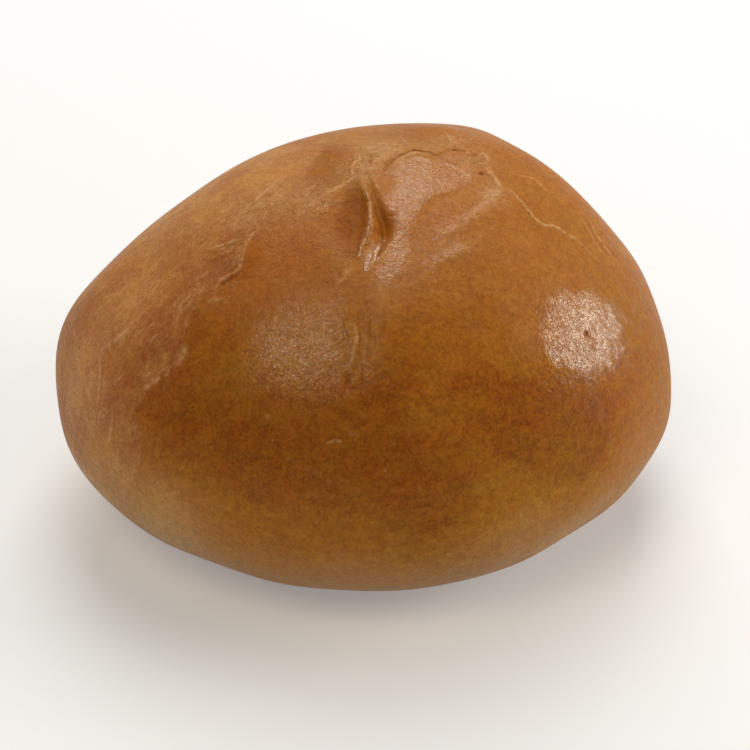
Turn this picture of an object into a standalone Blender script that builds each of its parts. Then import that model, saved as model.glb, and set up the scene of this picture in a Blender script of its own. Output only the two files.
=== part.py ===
"""A baked bun with a glossy brown crust, as one closed solid that rests on its flat foot.

Lengths are in millimetres and angles in degrees until the mesh is made, which is in metres.
+X is the bun's long way, +Y its back and +Z is up. The origin lies on the table, under the middle of the bun.
"""

import bmesh
import bpy
import numpy as np
from mathutils import Vector
from mathutils.bvhtree import BVHTree

MM = 0.001

# The dough body: half a width, half a depth, and how far it reaches above and below its widest level
HALF_WIDTH = 48.5
HALF_DEPTH = 43.5
CROWN_RISE = 38.6
BELLY_DROP = 26.0
WIDEST_LEVEL = 20.0
FOOT_EDGE_SOFTNESS = 3.0

# Where the dough swells (+) or dips (-): azimuth from +X, elevation, spread, height
LOBES = {
    "crown right": (35, 50, 26, 2.5),
    "crown peak": (56, 42, 10, 1.1),
    "right back hollow": (30, 20, 20, -3.5),
    "right back dent": (39, 34, 10, -2.0),
    "right back shoulder": (16, 17, 10, 1.3),
    "right ridge": (28, 27, 10, 0.6),
    "right end": (1, 1, 10, -0.4),
    "right cheek": (-12, -6, 10, 0.4),
    "right jowl": (-28, -13, 10, 0.5),
    "right front hollow": (-35, 0, 26, -1.5),
    "back dent": (110, 45, 10, -1.2),
    "left back dent": (136, 37, 10, -0.7),
    "left back hollow": (150, 25, 26, -2.5),
    "left back shoulder": (166, 14, 10, 0.5),
    "left end": (183, 12, 16, 2.5),
    "left front swell": (-150, 0, 26, 2.5),
    "left jowl": (-164, -8, 10, 0.5),
    "front swell": (-90, -8, 30, 0.5),
    "front dent": (-128, -21, 10, -0.6),
}

# Slow waves in the crust, of random direction and phase
WAVE_SEED = 11
WAVE_COUNT = 14
WAVE_HEIGHT = 0.05
SHORTEST_WAVE = 16.0
LONGEST_WAVE = 36.0

# Wrinkles are laid out on a plane that leans back and faces an eye above the front, and fall on the crust from there
LEAN = 36.0
EYE_DISTANCE = 306.0
PLANE_CENTRE = Vector((0.2, 0.0, 19.8))

# Each wrinkle: its route as (right, up) on that plane, its height (a groove's is negative), the widths of its left
# and right flanks seen along the route, and how far along it is highest
WRINKLES = {
    "crease hollow": (
        [(-2.8, 32.8), (-2.8, 30.8), (-2.6, 28.9), (-2.6, 26.6), (-2.8, 24.3), (-3.3, 22.0), (-3.8, 19.7),
         (-4.1, 17.5)],
        -0.9, 1.1, 2.7, 0.38,
    ),
    "crease slot": (
        [(-1.8, 33.1), (-1.0, 31.7), (-0.3, 30.0), (0.2, 28.4), (0.8, 26.9), (1.5, 25.5), (1.8, 23.7),
         (1.5, 21.7), (0.7, 19.7), (-0.5, 18.0), (-1.6, 16.5)],
        -1.35, 0.55, 1.0, 0.5,
    ),
    "crease spine": (
        [(-2.8, 33.1), (-2.0, 31.3), (-1.3, 29.7), (-0.8, 28.1), (-0.8, 26.3), (-1.1, 24.2), (-1.8, 21.9),
         (-2.8, 19.4), (-3.6, 17.3)],
        0.65, 0.42, 0.45, 0.4,
    ),
    "crease lip": (
        [(1.0, 30.5), (2.3, 28.1), (3.4, 25.8), (3.9, 23.3), (3.6, 21.1), (2.3, 19.1), (1.0, 17.1)],
        0.2, 2.2, 0.8, 0.5,
    ),
    "crease foot": (
        [(-2.1, 16.8), (-2.1, 14.2), (-2.0, 11.4), (-1.8, 8.7), (-1.8, 5.4), (-2.0, 2.4), (-1.5, -0.8),
         (-0.8, -3.4), (-1.5, -7.3)],
        -0.42, 1.1, 2.6, 0.35,
    ),
    "crease foot spine": (
        [(-3.4, 9.1), (-3.1, 7.2), (-3.3, 4.9), (-3.6, 2.9), (-3.8, 1.3), (-3.4, 0.2)],
        0.22, 0.42, 0.42, 0.35,
    ),
    "left brow": (
        [(-2.1, 33.5), (-3.8, 32.0), (-5.2, 31.0), (-6.9, 30.2), (-8.8, 29.1), (-10.9, 27.7),
         (-12.4, 26.4), (-13.4, 25.1)],
        0.22, 0.42, 0.55, 0.35,
    ),
    "knot right": (
        [(-0.7, 33.1), (0.2, 34.6), (1.5, 36.1), (2.8, 37.2), (4.1, 38.4)],
        0.24, 0.9, 0.8, 0.4,
    ),
    "crown groove": (
        [(0.5, 32.8), (1.8, 34.1), (3.1, 35.3), (4.6, 36.2), (6.0, 36.9), (7.3, 36.7), (8.7, 36.6),
         (10.0, 36.1), (11.1, 36.6), (12.4, 37.0), (13.7, 36.9), (14.9, 36.2), (16.0, 35.6), (17.5, 35.4)],
        -0.45, 0.42, 0.42, 0.4,
    ),
    "crown lip": (
        [(1.5, 32.5), (3.1, 33.9), (4.7, 35.1), (6.7, 35.7), (9.0, 35.4), (10.6, 35.3), (12.6, 34.6),
         (14.9, 33.9), (16.5, 33.1)],
        0.14, 0.5, 0.9, 0.5,
    ),
    "crown fold": (
        [(18.1, 32.2), (15.5, 31.2), (12.2, 30.0), (9.3, 29.1), (7.5, 27.4), (6.5, 25.3), (6.0, 22.7),
         (5.5, 20.4)],
        0.18, 0.8, 2.6, 0.45,
    ),
    "right brow": (
        [(17.5, 35.4), (18.6, 34.1), (19.3, 32.5), (20.2, 30.7), (19.4, 28.9), (18.0, 27.3), (15.8, 25.5),
         (13.1, 23.8), (10.6, 22.2)],
        0.16, 0.7, 1.0, 0.45,
    ),
    "right seam": (
        [(19.1, 31.3), (20.9, 30.7), (22.7, 29.4), (24.2, 27.7), (25.5, 26.0), (27.1, 24.6), (29.1, 24.2),
         (31.0, 23.2), (33.0, 21.9), (34.8, 20.2), (36.6, 18.4), (38.5, 16.8), (40.3, 15.0)],
        0.12, 0.42, 0.42, 0.3,
    ),
    "left seam": (
        [(-19.4, 24.3), (-20.6, 22.0), (-21.7, 19.9), (-22.7, 18.1), (-24.3, 16.3), (-25.8, 14.5),
         (-27.4, 12.9), (-28.7, 11.8)],
        0.16, 0.42, 0.5, 0.45,
    ),
    "left seam groove": (
        [(-21.4, 17.5), (-22.7, 16.5), (-24.2, 15.0), (-25.6, 13.5), (-27.3, 11.9)],
        -0.22, 0.42, 0.42, 0.5,
    ),
    "left cheek fold": (
        [(-35.1, 12.6), (-37.2, 10.6), (-38.7, 9.0), (-40.3, 7.2), (-42.1, 5.7), (-43.9, 4.6),
         (-45.2, 2.9), (-46.5, 2.0)],
        0.16, 0.42, 0.42, 0.5,
    ),
}
ROUTE_STEP = 0.4
WRINKLE_REACH = 3.0

# The mesh starts as an icosphere of this many subdivisions, gets smaller triangles this near a wrinkle's line,
# and is thinned where the crust is smooth
ICOSPHERE_SUBDIVISIONS = 7
REFINE_WITHIN = 1.4
KEPT_SHARE = 0.126

CRUST_COLOUR = (0.33, 0.13, 0.028, 1.0)
CRUST_ROUGHNESS = 0.38


def direction(azimuth, elevation):
    """The unit vector of these two angles."""
    az, el = np.radians(azimuth), np.radians(elevation)
    return np.array((np.cos(el) * np.cos(az), np.cos(el) * np.sin(az), np.sin(el)))


def smoothstep(share):
    share = np.clip(share, 0.0, 1.0)
    return share * share * (3.0 - 2.0 * share)


def body_points(rays):
    """Where unit rays from the middle of the widest level meet the smooth body, with its foot cut flat at 0."""
    rise = np.where(rays[:, 2] > 0.0, CROWN_RISE, BELLY_DROP)
    reach = ((rays[:, 0] / HALF_WIDTH) ** 2 + (rays[:, 1] / HALF_DEPTH) ** 2 + (rays[:, 2] / rise) ** 2) ** -0.5
    for azimuth, elevation, spread, height in LOBES.values():
        off = np.degrees(np.arccos(np.clip(rays @ direction(azimuth, elevation), -1.0, 1.0)))
        reach += height * np.exp(-((off / spread) ** 2))
    points = rays * reach[:, None]
    above = points[:, 2] + WIDEST_LEVEL
    rounded = (above + FOOT_EDGE_SOFTNESS) ** 2 / (4.0 * FOOT_EDGE_SOFTNESS)
    points[:, 2] = np.where(above > FOOT_EDGE_SOFTNESS, above, np.where(above < -FOOT_EDGE_SOFTNESS, 0.0, rounded))
    return points


def waves(points):
    """The height of the slow waves at each point."""
    draw = np.random.default_rng(WAVE_SEED)
    height = np.zeros(len(points))
    for _ in range(WAVE_COUNT):
        heading = draw.normal(size=3)
        heading /= np.linalg.norm(heading)
        length = draw.uniform(SHORTEST_WAVE, LONGEST_WAVE)
        height += WAVE_HEIGHT * np.sin(points @ heading * 2.0 * np.pi / length + draw.uniform(0.0, 2.0 * np.pi))
    return height


def smooth_curve(stops, step):
    """Points about one step apart along a Catmull-Rom curve through the stops."""
    stops = np.asarray(stops, float)
    ends = np.vstack((2 * stops[0] - stops[1], stops, 2 * stops[-1] - stops[-2]))
    found = []
    for i in range(1, len(ends) - 2):
        before, start, end, after = ends[i - 1 : i + 3]
        count = max(2, int(np.ceil(np.linalg.norm(end - start) / step)))
        t = np.linspace(0.0, 1.0, count, endpoint=False)[:, None]
        found.append(0.5 * (2 * start + (end - before) * t
                            + (2 * before - 5 * start + 4 * end - after) * t ** 2
                            + (3 * start - before - 3 * end + after) * t ** 3))
    return np.vstack(found + [stops[-1:]])


def fall_on_crust(route, tree):
    """The route's points on the crust, and the crust's normals there, along sight lines from the eye."""
    lean = np.radians(LEAN)
    right = Vector((1.0, 0.0, 0.0))
    up = Vector((0.0, np.sin(lean), np.cos(lean)))
    eye = PLANE_CENTRE - EYE_DISTANCE * Vector((0.0, np.cos(lean), -np.sin(lean)))
    hits = []
    for across, height in route:
        target = PLANE_CENTRE + right * float(across) + up * float(height)
        place, normal, _, _ = tree.ray_cast(eye, (target - eye).normalized())
        if place is not None:
            hits.append((place, normal))
    return np.array([tuple(p) for p, _ in hits]), np.array([tuple(n) for _, n in hits])


def measure(points, line, reach):
    """Of the points within reach of a line: which they are, how far off and how far along it each one is, as a share,
    which stretch of it is nearest, and the gap to it."""
    low, high = line.min(0) - reach, line.max(0) + reach
    near = np.flatnonzero(((points > low) & (points < high)).all(1))
    start, run = line[:-1], np.diff(line, axis=0)
    length = np.linalg.norm(run, axis=1)
    along = np.concatenate(((0.0,), np.cumsum(length)))
    to = points[near][:, None, :] - start[None]
    t = np.clip((to * run).sum(2) / length ** 2, 0.0, 1.0)
    gap = to - t[..., None] * run
    distance = np.linalg.norm(gap, axis=2)
    best = distance.argmin(1)
    rows = np.arange(len(near))
    travel = (along[best] + t[rows, best] * length[best]) / along[-1]
    return near, distance[rows, best], travel, best, gap[rows, best]


def wrinkle_height(points, line, normals, height, left, right, peak):
    """What one wrinkle adds at each point: a bell-shaped ridge or groove that fades out towards its ends."""
    added = np.zeros(len(points))
    near, distance, travel, best, gap = measure(points, line, WRINKLE_REACH * max(left, right))
    side = (np.cross(np.diff(line, axis=0)[best], normals[best]) * gap).sum(1)
    width = np.where(side > 0.0, right, left)
    fade = smoothstep(travel / peak) * smoothstep((1.0 - travel) / (1.0 - peak))
    added[near] = height * fade * np.exp(-((distance / width) ** 2))
    return added


def smooth_body():
    """The smooth body as a mesh of even triangles."""
    shape = bmesh.new()
    bmesh.ops.create_icosphere(shape, subdivisions=ICOSPHERE_SUBDIVISIONS, radius=1.0)
    for vertex, point in zip(shape.verts, body_points(np.array([v.co.normalized() for v in shape.verts]))):
        vertex.co = point
    return shape


def refine(shape, lines):
    """Splits the triangles near the wrinkles' lines."""
    points = np.array([v.co for v in shape.verts])
    wanted = np.zeros(len(points), bool)
    for line in lines:
        near, distance, _, _, _ = measure(points, line, REFINE_WITHIN)
        wanted[near[distance < REFINE_WITHIN]] = True
    shape.verts.index_update()
    edges = [e for e in shape.edges if wanted[e.verts[0].index] and wanted[e.verts[1].index]]
    bmesh.ops.subdivide_edges(shape, edges=edges, cuts=1, use_grid_fill=False)
    bmesh.ops.triangulate(shape, faces=[f for f in shape.faces if len(f.verts) > 3])


def crust_mesh():
    """The bun's mesh: the smooth body, then the waves and wrinkles, moved so that the origin is under its middle."""
    shape = smooth_body()
    tree = BVHTree.FromBMesh(shape)
    lines = [fall_on_crust(smooth_curve(route, ROUTE_STEP), tree) for route, *_ in WRINKLES.values()]
    refine(shape, [line for line, _ in lines])
    shape.normal_update()
    points = np.array([v.co for v in shape.verts])
    outward = np.array([v.normal for v in shape.verts])
    relief = waves(points)
    for (_, *sizes), (line, normals) in zip(WRINKLES.values(), lines):
        relief += wrinkle_height(points, line, normals, *sizes)
    off_foot = smoothstep(points[:, 2] / FOOT_EDGE_SOFTNESS)
    points += outward * (relief * off_foot)[:, None]
    middle = (points.min(0) + points.max(0)) / 2.0
    points -= (middle[0], middle[1], points[:, 2].min())
    for vertex, point in zip(shape.verts, points):
        vertex.co = point * MM
    mesh = bpy.data.meshes.new("bun")
    shape.to_mesh(mesh)
    shape.free()
    mesh.shade_smooth()
    return mesh


def crust_material():
    material = bpy.data.materials.new("crust")
    material.use_nodes = True
    shader = material.node_tree.nodes["Principled BSDF"]
    shader.inputs["Base Color"].default_value = CRUST_COLOUR
    shader.inputs["Roughness"].default_value = CRUST_ROUGHNESS
    shader.inputs["Metallic"].default_value = 0.0
    return material


def build():
    for old in list(bpy.data.objects):
        bpy.data.objects.remove(old)
    bun = bpy.data.objects.new("bun", crust_mesh())
    bun.data.materials.append(crust_material())
    bpy.context.scene.collection.objects.link(bun)
    thin = bun.modifiers.new("thin", "DECIMATE")
    thin.decimate_type = "COLLAPSE"
    thin.ratio = KEPT_SHARE


build()
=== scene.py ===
"""The looks of the baked bun: its crust with folds, pits and specks, on a pale floor in soft light.

Lengths are in millimetres and angles in degrees until a mesh is made, which is in metres, as the frame is.
"""

import math

import bmesh
import bpy
import numpy as np
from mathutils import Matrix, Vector
from mathutils.bvhtree import BVHTree


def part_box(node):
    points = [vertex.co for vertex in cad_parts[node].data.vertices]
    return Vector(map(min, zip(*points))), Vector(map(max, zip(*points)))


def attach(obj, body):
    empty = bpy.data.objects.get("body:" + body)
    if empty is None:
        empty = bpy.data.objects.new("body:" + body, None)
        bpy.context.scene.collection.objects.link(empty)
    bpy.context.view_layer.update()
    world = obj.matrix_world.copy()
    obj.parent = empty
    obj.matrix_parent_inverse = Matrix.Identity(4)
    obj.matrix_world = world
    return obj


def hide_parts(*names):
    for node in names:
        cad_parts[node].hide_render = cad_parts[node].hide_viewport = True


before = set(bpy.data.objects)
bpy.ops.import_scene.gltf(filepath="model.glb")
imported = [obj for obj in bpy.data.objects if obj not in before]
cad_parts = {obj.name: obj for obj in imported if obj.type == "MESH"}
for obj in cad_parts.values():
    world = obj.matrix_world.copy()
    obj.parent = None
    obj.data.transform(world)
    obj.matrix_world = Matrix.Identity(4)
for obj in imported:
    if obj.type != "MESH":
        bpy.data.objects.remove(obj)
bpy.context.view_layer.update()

MM = 0.001

# The dough body: half a width, half a depth, and how far it reaches above and below its widest level
HALF_WIDTH = 48.5
HALF_DEPTH = 43.5
CROWN_RISE = 38.6
BELLY_DROP = 26.0
WIDEST_LEVEL = 20.0
FOOT_EDGE_SOFTNESS = 3.0

# Where the dough swells (+) or dips (-): azimuth from +X, elevation, spread, height
LOBES = {
    "crown right": (35, 50, 26, 2.5),
    "crown peak": (56, 42, 10, 1.1),
    "right back hollow": (30, 20, 20, -3.5),
    "right back dent": (39, 34, 10, -2.0),
    "right back shoulder": (16, 17, 10, 1.3),
    "right ridge": (28, 27, 10, 0.6),
    "right end": (1, 1, 10, -0.4),
    "right cheek": (-12, -6, 10, 0.4),
    "right jowl": (-28, -13, 10, 0.5),
    "right front hollow": (-35, 0, 26, -1.5),
    "back dent": (110, 45, 10, -1.2),
    "left back dent": (136, 37, 10, -0.7),
    "left back hollow": (150, 25, 26, -2.5),
    "left back shoulder": (166, 14, 10, 0.5),
    "left end": (183, 12, 16, 2.5),
    "left front swell": (-150, 0, 26, 2.5),
    "left jowl": (-164, -8, 10, 0.5),
    "front swell": (-90, -8, 30, 0.5),
    "front dent": (-128, -21, 10, -0.6),
}

# Slow waves in the crust, of random direction and phase
WAVE_SEED = 11
WAVE_COUNT = 14
WAVE_HEIGHT = 0.05
SHORTEST_WAVE = 16.0
LONGEST_WAVE = 36.0

# Wrinkles are laid out on a plane that leans back and faces the eye, and fall on the crust from there
LEAN = 36.0
EYE_DISTANCE = 306.0
PLANE_CENTRE = Vector((0.2, 0.0, 19.8))
LENS = 90.0
NEAREST_SEEN = 10.0

# Each wrinkle: its route as (right, up) on that plane, its height (a groove's is negative), the widths of its
# left and right flanks seen along the route, how far along it is highest, and how pale its crest is: dried
# glaze and painted highlight
WRINKLES = {
    "crease hollow": ([(-2.8, 32.8), (-2.8, 30.8), (-2.6, 28.9), (-2.6, 26.6), (-2.8, 24.3), (-3.3, 22),
        (-3.8, 19.7), (-4.1, 17.5)], -0.9, 1.1, 2.7, 0.38, 0),
    "crease slot": ([(-1.8, 33.1), (-1, 31.7), (-0.3, 30), (0.2, 28.4), (0.8, 26.9), (1.5, 25.5),
        (1.8, 23.7), (1.5, 21.7), (0.7, 19.7), (-0.5, 18), (-1.6, 16.5)], -1.35, 0.55, 1.0, 0.5, 0),
    "crease spine": ([(-2.8, 33.1), (-2, 31.3), (-1.3, 29.7), (-0.8, 28.1), (-0.8, 26.3), (-1.1, 24.2),
        (-1.8, 21.9), (-2.8, 19.4), (-3.6, 17.3)], 0.65, 0.55, 0.55, 0.4, 0.7),
    "crease glint": ([(1.5, 22.8), (0.8, 21.2), (0, 19.4), (-0.8, 17.8), (-1.5, 16.8)],
        0.45, 0.28, 0.28, 0.6, 1),
    "crease glint 2": ([(2.6, 22.7), (2.1, 21.1), (1.1, 19.1), (0, 17.5)], 0.35, 0.25, 0.25, 0.5, 0.9),
    "slot edge": ([(-1.3, 33.1), (-0.3, 31.8), (0.3, 30.2), (0.7, 28.6), (1.5, 27.3)],
        0.12, 0.22, 0.22, 0.5, 0.7),
    "slot nick": ([(1.8, 26.4), (2.6, 26), (3.4, 26), (4.1, 26.4)], -0.2, 0.25, 0.25, 0.4, 0),
    "crease lip": ([(1, 30.5), (2.3, 28.1), (3.4, 25.8), (3.9, 23.3), (3.6, 21.1), (2.3, 19.1), (1, 17.1)],
        0.2, 2.2, 0.8, 0.5, 0),
    "crease foot": ([(-2.1, 16.8), (-2.1, 14.2), (-2, 11.4), (-1.8, 8.7), (-1.8, 5.4), (-2, 2.4),
        (-1.5, -0.8), (-0.8, -3.4), (-1.5, -7.3)], -0.42, 1.1, 2.6, 0.35, 0),
    "crease foot crack": ([(-2.6, 7.3), (-2.4, 6), (-2.4, 4.9), (-2, 3.8)], -0.15, 0.25, 0.25, 0.5, 0),
    "crease foot spine": ([(-3.4, 9.1), (-3.1, 7.2), (-3.3, 4.9), (-3.6, 2.9), (-3.8, 1.3), (-3.4, 0.2)],
        0.22, 0.26, 0.26, 0.35, 0.8),
    "crease foot nick": ([(-3.6, 8.7), (-4.4, 8.8), (-4.9, 8), (-4.6, 6.5), (-4.1, 5.4), (-3.6, 4.4)],
        -0.2, 0.22, 0.22, 0.6, 0),
    "crease end nick": ([(-4.1, 0.7), (-4.4, -0.8), (-4.7, -2.1), (-4.9, -3.1)], -0.25, 0.42, 0.42, 0.5, 0),
    "end ring": ([(-4.2, -2.9), (-3.8, -2.3), (-2.9, -2.4), (-2.4, -2)], -0.13, 0.2, 0.2, 0.5, 0),
    "front ring": ([(0.7, -1.6), (1.6, -2.1), (2.6, -1.6), (2.9, -0.3)], -0.14, 0.22, 0.22, 0.5, 0),
    "front ring crest": ([(1, -1.5), (1.8, -1), (2.3, -0.2)], 0.12, 0.3, 0.3, 0.5, 0.5),
    "small ridge": ([(-3.1, 17.8), (-4.2, 16.8), (-5.5, 15.3), (-6.7, 13.7), (-7.3, 12.9)],
        0.25, 0.35, 0.45, 0.4, 0.6),
    "left brow": ([(-2.1, 33.5), (-3.8, 32), (-5.2, 31), (-6.9, 30.2), (-8.8, 29.1), (-10.9, 27.7),
        (-12.4, 26.4), (-13.4, 25.1)], 0.22, 0.4, 0.55, 0.35, 1),
    "knot left": ([(-3.8, 31.5), (-3.9, 33.1), (-3.6, 34.3), (-2.8, 35.3), (-1.8, 35.4), (-1.1, 34.4),
        (-1.3, 33.1)], 0.26, 0.28, 0.28, 0.5, 1),
    "knot middle": ([(-3.3, 32.5), (-2.9, 33.5), (-2.3, 34.1)], -0.16, 0.3, 0.3, 0.5, 0),
    "knot right": ([(-0.7, 33.1), (0.2, 34.6), (1.5, 36.1), (2.8, 37.2), (4.1, 38.4)],
        0.24, 0.9, 0.8, 0.4, 0.7),
    "knot edge": ([(-0.7, 33.6), (-0.2, 34.9), (0.7, 35.9)], 0.16, 0.22, 0.22, 0.5, 1),
    "knot fold": ([(-1.3, 36.7), (-0.8, 35.6), (-0.8, 34.4), (-0.8, 33.3)], -0.22, 0.3, 0.3, 0.5, 0),
    "crown groove": ([(0.5, 32.8), (1.8, 34.1), (3.1, 35.3), (4.6, 36.2), (6, 36.9), (7.3, 36.7),
        (8.7, 36.6), (10, 36.1), (11.1, 36.6), (12.4, 37), (13.7, 36.9), (14.9, 36.2), (16, 35.6),
        (17.5, 35.4)], -0.45, 0.26, 0.26, 0.4, 0),
    "crown groove start": ([(0.3, 32.3), (1.3, 33.6), (2.3, 34.9), (3.4, 36.1), (4.6, 36.9)],
        -0.3, 0.45, 0.45, 0.5, 0),
    "crown lip": ([(1.5, 32.5), (3.1, 33.9), (4.7, 35.1), (6.7, 35.7), (9, 35.4), (10.6, 35.3), (12.6, 34.6),
        (14.9, 33.9), (16.5, 33.1)], 0.14, 0.5, 0.9, 0.5, 0),
    "crown lip edge": ([(1.8, 33.1), (3.3, 34.6), (4.7, 35.7), (6.2, 36.4), (8, 36.2), (9.6, 35.7)],
        0.1, 0.24, 0.3, 0.5, 1),
    "crown fold": ([(18.1, 32.2), (15.5, 31.2), (12.2, 30), (9.3, 29.1), (7.5, 27.4), (6.5, 25.3), (6, 22.7),
        (5.5, 20.4)], 0.18, 0.8, 2.6, 0.45, 0),
    "upper crown fold": ([(3.8, 39.3), (4.7, 38.4), (5.9, 37.5), (7.2, 37.2)], 0.14, 0.3, 0.35, 0.5, 0.7),
    "upper crown fold 2": ([(9.5, 39.7), (10.6, 39.5), (11.6, 39.2), (12.1, 38.4), (12.4, 37.2)],
        0.24, 0.3, 0.3, 0.6, 1),
    "upper crown fold shade": ([(10.1, 38.8), (10.9, 38.5), (11.4, 37.7)], -0.16, 0.25, 0.25, 0.5, 0),
    "upper crack": ([(-7.7, 35.4), (-6.5, 36.6), (-4.9, 37.4), (-2.9, 37.7), (-0.8, 37.4)],
        -0.13, 0.3, 0.4, 0.4, 0),
    "crown pucker": ([(13.4, 37.5), (14.4, 36.9), (15, 36.4), (16.2, 36.1)], 0.22, 0.35, 0.3, 0.5, 0.9),
    "crown pucker 2": ([(16.5, 35.1), (17.5, 36.1), (18.4, 35.4), (19.4, 34.4)], 0.18, 0.35, 0.35, 0.5, 0.9),
    "right brow": ([(17.5, 35.4), (18.6, 34.1), (19.3, 32.5), (20.2, 30.7), (19.4, 28.9), (18, 27.3),
        (15.8, 25.5), (13.1, 23.8), (10.6, 22.2)], 0.16, 0.7, 1.0, 0.45, 0.6),
    "right brow edge": ([(17.5, 35.6), (18.6, 34.3), (19.3, 32.5), (20.2, 30.7), (19.7, 29.1), (18.6, 27.7)],
        0.16, 0.28, 0.35, 0.5, 1),
    "second brow": ([(16.8, 21.5), (14.4, 20.4), (11.9, 19.3), (9.6, 18.3)], 0.08, 0.7, 0.9, 0.5, 0.3),
    "right seam": ([(19.1, 31.3), (20.9, 30.7), (22.7, 29.4), (24.2, 27.7), (25.5, 26), (27.1, 24.6),
        (29.1, 24.2), (31, 23.2), (33, 21.9), (34.8, 20.2), (36.6, 18.4), (38.5, 16.8), (40.3, 15)],
        0.16, 0.22, 0.26, 0.3, 1.2),
    "right hair": ([(21.7, 33), (23.7, 32.3), (25.8, 31.7), (27.1, 30.5), (28.6, 29.2), (30, 27.9)],
        0.12, 0.2, 0.2, 0.4, 1),
    "right edge hair": ([(34.3, 26.1), (35.4, 24), (36.9, 21.5), (38.5, 19.6), (40.3, 17.6)],
        0.14, 0.25, 0.25, 0.5, 0.9),
    "right edge hair 2": ([(33, 26.6), (34.4, 24), (36.2, 21.1), (37.9, 19.1), (39.3, 17.5)],
        0.11, 0.25, 0.25, 0.5, 0.8),
    "left seam": ([(-19.6, 23.5), (-20.6, 21.9), (-21.2, 20.4), (-21.7, 18.8), (-22.2, 17.3), (-23.3, 16.3),
        (-24.5, 15.7), (-25.5, 14.7), (-26.1, 13.5), (-26.9, 12.4), (-27.9, 11.8)],
        0.16, 0.25, 0.38, 0.65, 0.75),
    "left seam groove": ([(-21.4, 18.3), (-21.9, 17), (-23, 16), (-24.2, 15.3), (-25.1, 14.5), (-25.8, 13.5),
        (-26.4, 12.6)], -0.32, 0.28, 0.3, 0.5, 0),
    "left seam foot": ([(-27.9, 11.9), (-26.4, 12.2), (-25, 12.1), (-23.8, 11.6)],
        0.12, 0.3, 0.35, 0.5, 0.7),
    "left seam crack": ([(-27.7, 11.8), (-29.2, 11.4), (-30.2, 10.6), (-30.8, 9.6)],
        -0.15, 0.3, 0.3, 0.5, 0),
    "left fold": ([(-29.1, 14.4), (-30.4, 12.9), (-31.5, 11.6), (-32.2, 9.6), (-32.6, 7.2), (-33, 4.9)],
        0.12, 0.3, 0.3, 0.4, 0.6),
    "left hair": ([(-14.7, 33.5), (-16.5, 31.2), (-18.4, 29.4), (-20.7, 27.4), (-22.5, 25.8), (-24, 24.2)],
        0.16, 0.22, 0.26, 0.5, 1.5),
    "left hair 2": ([(-27.9, 20.4), (-26.3, 20.7), (-24.6, 21.1), (-23, 21.9), (-21.5, 22.4)],
        0.16, 0.25, 0.25, 0.5, 1.4),
    "left hair 3": ([(-18.4, 25), (-19.7, 23.3), (-21.1, 21.5), (-22, 20.4)], 0.14, 0.22, 0.22, 0.5, 1.1),
    "left bump": ([(-31.5, 6), (-31.3, 4.1), (-32.2, 2.1), (-33.5, 0.5)], 0.16, 0.5, 0.6, 0.5, 0.7),
    "left bump 2": ([(-35.1, -0.5), (-36.6, -1.6), (-38, -3.3)], 0.14, 0.5, 0.6, 0.5, 0.6),
    "left cheek fold": ([(-35.1, 12.6), (-37.2, 10.6), (-38.7, 9), (-40.3, 7.2), (-42.1, 5.7), (-43.9, 4.6),
        (-45.2, 2.9), (-46.5, 2)], 0.16, 0.35, 0.4, 0.5, 1),
    "left cheek groove": ([(-36.7, 10.8), (-38.5, 9), (-40.2, 7), (-41.8, 5.1)], -0.1, 0.3, 0.3, 0.5, 0),
    "left edge": ([(-45.4, 4.9), (-44.9, 2.4), (-44.7, -0.5), (-44.9, -3.3), (-45.2, -6), (-45, -9)],
        0.16, 0.25, 0.25, 0.4, 1),
    "left edge 2": ([(-43.3, -3.8), (-42.6, -6), (-42.8, -8.7), (-43.4, -10.9), (-43.9, -13.1)],
        0.12, 0.25, 0.25, 0.5, 0.9),
    "left edge 3": ([(-47.8, 1.1), (-47.3, -0.8), (-46.7, -2.8), (-46, -4.4)], 0.11, 0.25, 0.25, 0.5, 0.9),
    "left edge 4": ([(-48.5, -1.6), (-47.8, -4.4), (-46.8, -7.3), (-45.5, -10.6), (-44.2, -13.5)],
        0.11, 0.22, 0.22, 0.5, 0.8),
    "arc": ([(-13.5, 23.3), (-12.6, 24.3), (-11.3, 25), (-10, 24.6), (-9, 23.3), (-8.7, 21.7)],
        0.06, 0.25, 0.3, 0.5, 0.3),
    "scar": ([(-8.2, -11.2), (-7.2, -10.9), (-6, -10.9), (-4.9, -11.2)], 0.2, 0.15, 0.15, 0.5, 1.5),
    "front mark": ([(-18.3, -6.9), (-17.1, -6.4)], 0.05, 0.25, 0.25, 0.5, 0.45),
    "front mark 2": ([(-4.9, -9), (-3.8, -9.6), (-2.6, -9.3)], 0.05, 0.4, 0.4, 0.5, 0.3),
    "front mark 3": ([(-2.3, -5.9), (-1.5, -7.5)], 0.05, 0.3, 0.3, 0.5, 0.3),
    "front mark 4": ([(-11.8, -15.2), (-10.4, -15.5), (-9.1, -16.3)], 0.05, 0.3, 0.3, 0.5, 0.28),
    "front mark 5": ([(-8.3, -17), (-7, -17.8)], 0.05, 0.3, 0.3, 0.5, 0.28),
    "front mark 6": ([(-14.9, -13.5), (-13.5, -14)], 0.05, 0.25, 0.25, 0.5, 0.3),
    "brow ridge": ([(16.8, 35.9), (17.8, 35.7), (18.4, 35.1), (18.8, 34.4)], 0.26, 0.3, 0.3, 0.5, 1.3),
    "brow ridge 2": ([(17.8, 34.4), (18.3, 33.5), (18.8, 32.5), (19.3, 31.8)], 0.2, 0.28, 0.28, 0.5, 1.2),
    "brow ridge 3": ([(15, 35.6), (15.7, 35.3), (16.5, 34.9)], 0.24, 0.25, 0.25, 0.5, 1.4),
    "brow lump": ([(14, 36.9), (14.9, 36.5)], 0.24, 0.35, 0.35, 0.5, 1.3),
    "brow hollow": ([(15.8, 36.9), (16.3, 36.2), (16.6, 35.4)], -0.34, 0.32, 0.36, 0.5, 0),
    "crown notch": ([(12.2, 36.9), (13.1, 36.9), (13.7, 37)], -0.34, 0.25, 0.3, 0.5, 0),
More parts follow.
